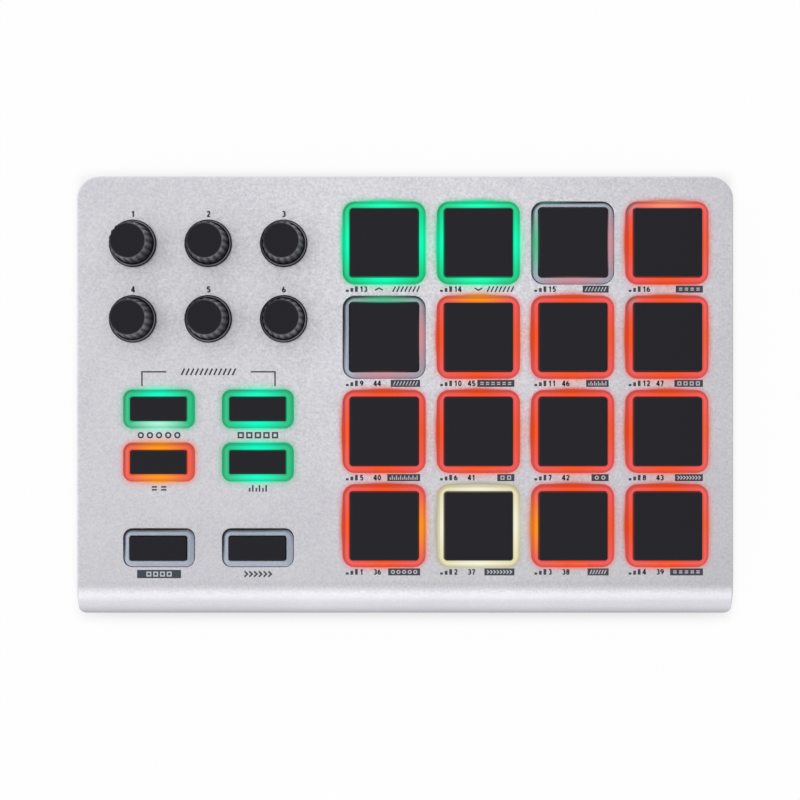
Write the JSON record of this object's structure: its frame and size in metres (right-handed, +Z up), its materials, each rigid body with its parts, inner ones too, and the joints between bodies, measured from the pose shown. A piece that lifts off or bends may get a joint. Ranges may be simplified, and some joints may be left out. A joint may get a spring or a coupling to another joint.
{
  "type": "midi pad controller",
  "caption": "Low desktop controller with a silver rolled-front cover, a grid of black pads in lit rims, lit push buttons, fluted endless knobs and rear sockets.",
  "frame": {"origin": "on the desk under the middle of the case", "axes": "+X to the right, +Y to the rear with the sockets, +Z up out of the panel"},
  "size_m": [0.23, 0.154, 0.0456],
  "materials": {
    "silver_aluminium": "bead blasted and clear anodised",
    "black_case_plastic": "fine moulded texture",
    "black_silicone": "soft matt",
    "knob_plastic": "satin, fine grain",
    "translucent_rim": "frosted, lit from below",
    "foot_rubber": "matt",
    "screw_steel": "zinc plated",
    "shaft_steel": "turned",
    "bushing_brass": "turned",
    "board_laminate": "solder resist",
    "component_plastic": "moulded",
    "led_resin": "clear resin on white",
    "sensor_film": "printed film",
    "connector_plastic": "moulded",
    "ribbon_film": "laminated film"
  },
  "bodies": {
    "chassis": {"top_cover": "silver_aluminium", "base_tray": "black_case_plastic", "rubber_feet": "foot_rubber", "case_screws": "screw_steel", "main_board": "board_laminate", "board_screws": "screw_steel", "pad_light_frame": "translucent_rim", "button_light_frame": "translucent_rim", "pad_sensors": "sensor_film", "button_switches": "component_plastic", "encoder_bodies": "component_plastic", "encoder_bushings": "bushing_brass", "encoder_washers": "screw_steel", "encoder_nuts": "screw_steel", "lighting_leds": "led_resin", "board_chips": "component_plastic", "io_board": "board_laminate", "io_board_screws": "screw_steel", "usb_socket": "screw_steel", "usb_tongue": "component_plastic", "midi_jacks": "component_plastic", "flat_cable": "ribbon_film", "cable_connectors": "connector_plastic"},
    "pad_1": {"pad_1": "black_silicone"},
    "pad_2": {"pad_2": "black_silicone"},
    "pad_3": {"pad_3": "black_silicone"},
    "pad_4": {"pad_4": "black_silicone"},
    "pad_5": {"pad_5": "black_silicone"},
    "pad_6": {"pad_6": "black_silicone"},
    "pad_7": {"pad_7": "black_silicone"},
    "pad_8": {"pad_8": "black_silicone"},
    "pad_9": {"pad_9": "black_silicone"},
    "pad_10": {"pad_10": "black_silicone"},
    "pad_11": {"pad_11": "black_silicone"},
    "pad_12": {"pad_12": "black_silicone"},
    "pad_13": {"pad_13": "black_silicone"},
    "pad_14": {"pad_14": "black_silicone"},
    "pad_15": {"pad_15": "black_silicone"},
    "pad_16": {"pad_16": "black_silicone"},
    "button_1": {"button_1": "black_silicone"},
    "button_2": {"button_2": "black_silicone"},
    "button_3": {"button_3": "black_silicone"},
    "button_4": {"button_4": "black_silicone"},
    "button_5": {"button_5": "black_silicone"},
    "button_6": {"button_6": "black_silicone"},
    "knob_1": {"knob_1": "knob_plastic", "encoder_shaft_1": "shaft_steel"},
    "knob_2": {"knob_2": "knob_plastic", "encoder_shaft_2": "shaft_steel"},
    "knob_3": {"knob_3": "knob_plastic", "encoder_shaft_3": "shaft_steel"},
    "knob_4": {"knob_4": "knob_plastic", "encoder_shaft_4": "shaft_steel"},
    "knob_5": {"knob_5": "knob_plastic", "encoder_shaft_5": "shaft_steel"},
    "knob_6": {"knob_6": "knob_plastic", "encoder_shaft_6": "shaft_steel"}
  },
  "joints": [
    {"name": "pad_1_press", "type": "slide", "parent": "chassis", "child": "pad_1", "axis": [0, 0, -1], "range_m": [0, 0.0008], "stiffness_N_per_m": 800, "springref_m": -0.001},
    {"name": "pad_2_press", "type": "slide", "parent": "chassis", "child": "pad_2", "axis": [0, 0, -1], "range_m": [0, 0.0008], "stiffness_N_per_m": 800, "springref_m": -0.001},
    {"name": "pad_3_press", "type": "slide", "parent": "chassis", "child": "pad_3", "axis": [0, 0, -1], "range_m": [0, 0.0008], "stiffness_N_per_m": 800, "springref_m": -0.001},
    {"name": "pad_4_press", "type": "slide", "parent": "chassis", "child": "pad_4", "axis": [0, 0, -1], "range_m": [0, 0.0008], "stiffness_N_per_m": 800, "springref_m": -0.001},
    {"name": "pad_5_press", "type": "slide", "parent": "chassis", "child": "pad_5", "axis": [0, 0, -1], "range_m": [0, 0.0008], "stiffness_N_per_m": 800, "springref_m": -0.001},
    {"name": "pad_6_press", "type": "slide", "parent": "chassis", "child": "pad_6", "axis": [0, 0, -1], "range_m": [0, 0.0008], "stiffness_N_per_m": 800, "springref_m": -0.001},
    {"name": "pad_7_press", "type": "slide", "parent": "chassis", "child": "pad_7", "axis": [0, 0, -1], "range_m": [0, 0.0008], "stiffness_N_per_m": 800, "springref_m": -0.001},
    {"name": "pad_8_press", "type": "slide", "parent": "chassis", "child": "pad_8", "axis": [0, 0, -1], "range_m": [0, 0.0008], "stiffness_N_per_m": 800, "springref_m": -0.001},
    {"name": "pad_9_press", "type": "slide", "parent": "chassis", "child": "pad_9", "axis": [0, 0, -1], "range_m": [0, 0.0008], "stiffness_N_per_m": 800, "springref_m": -0.001},
    {"name": "pad_10_press", "type": "slide", "parent": "chassis", "child": "pad_10", "axis": [0, 0, -1], "range_m": [0, 0.0008], "stiffness_N_per_m": 800, "springref_m": -0.001},
    {"name": "pad_11_press", "type": "slide", "parent": "chassis", "child": "pad_11", "axis": [0, 0, -1], "range_m": [0, 0.0008], "stiffness_N_per_m": 800, "springref_m": -0.001},
    {"name": "pad_12_press", "type": "slide", "parent": "chassis", "child": "pad_12", "axis": [0, 0, -1], "range_m": [0, 0.0008], "stiffness_N_per_m": 800, "springref_m": -0.001},
    {"name": "pad_13_press", "type": "slide", "parent": "chassis", "child": "pad_13", "axis": [0, 0, -1], "range_m": [0, 0.0008], "stiffness_N_per_m": 800, "springref_m": -0.001},
    {"name": "pad_14_press", "type": "slide", "parent": "chassis", "child": "pad_14", "axis": [0, 0, -1], "range_m": [0, 0.0008], "stiffness_N_per_m": 800, "springref_m": -0.001},
    {"name": "pad_15_press", "type": "slide", "parent": "chassis", "child": "pad_15", "axis": [0, 0, -1], "range_m": [0, 0.0008], "stiffness_N_per_m": 800, "springref_m": -0.001},
    {"name": "pad_16_press", "type": "slide", "parent": "chassis", "child": "pad_16", "axis": [0, 0, -1], "range_m": [0, 0.0008], "stiffness_N_per_m": 800, "springref_m": -0.001},
    {"name": "button_1_press", "type": "slide", "parent": "chassis", "child": "button_1", "axis": [0, 0, -1], "range_m": [0, 0.0008], "stiffness_N_per_m": 800, "springref_m": -0.001},
    {"name": "button_2_press", "type": "slide", "parent": "chassis", "child": "button_2", "axis": [0, 0, -1], "range_m": [0, 0.0008], "stiffness_N_per_m": 800, "springref_m": -0.001},
    {"name": "button_3_press", "type": "slide", "parent": "chassis", "child": "button_3", "axis": [0, 0, -1], "range_m": [0, 0.0008], "stiffness_N_per_m": 800, "springref_m": -0.001},
    {"name": "button_4_press", "type": "slide", "parent": "chassis", "child": "button_4", "axis": [0, 0, -1], "range_m": [0, 0.0008], "stiffness_N_per_m": 800, "springref_m": -0.001},
    {"name": "button_5_press", "type": "slide", "parent": "chassis", "child": "button_5", "axis": [0, 0, -1], "range_m": [0, 0.0008], "stiffness_N_per_m": 800, "springref_m": -0.001},
    {"name": "button_6_press", "type": "slide", "parent": "chassis", "child": "button_6", "axis": [0, 0, -1], "range_m": [0, 0.0008], "stiffness_N_per_m": 800, "springref_m": -0.001},
    {"name": "knob_1_turn", "type": "hinge", "parent": "chassis", "child": "knob_1", "pos_m": [-0.09525, 0.05345, 0.0306], "axis": [0, 0, 1], "continuous": true},
    {"name": "knob_2_turn", "type": "hinge", "parent": "chassis", "child": "knob_2", "pos_m": [-0.06885, 0.05345, 0.0306], "axis": [0, 0, 1], "continuous": true},
    {"name": "knob_3_turn", "type": "hinge", "parent": "chassis", "child": "knob_3", "pos_m": [-0.04245, 0.05345, 0.0306], "axis": [0, 0, 1], "continuous": true},
    {"name": "knob_4_turn", "type": "hinge", "parent": "chassis", "child": "knob_4", "pos_m": [-0.09525, 0.02705, 0.0306], "axis": [0, 0, 1], "continuous": true},
    {"name": "knob_5_turn", "type": "hinge", "parent": "chassis", "child": "knob_5", "pos_m": [-0.06885, 0.02705, 0.0306], "axis": [0, 0, 1], "continuous": true},
    {"name": "knob_6_turn", "type": "hinge", "parent": "chassis", "child": "knob_6", "pos_m": [-0.04245, 0.02705, 0.0306], "axis": [0, 0, 1], "continuous": true}
  ]
}
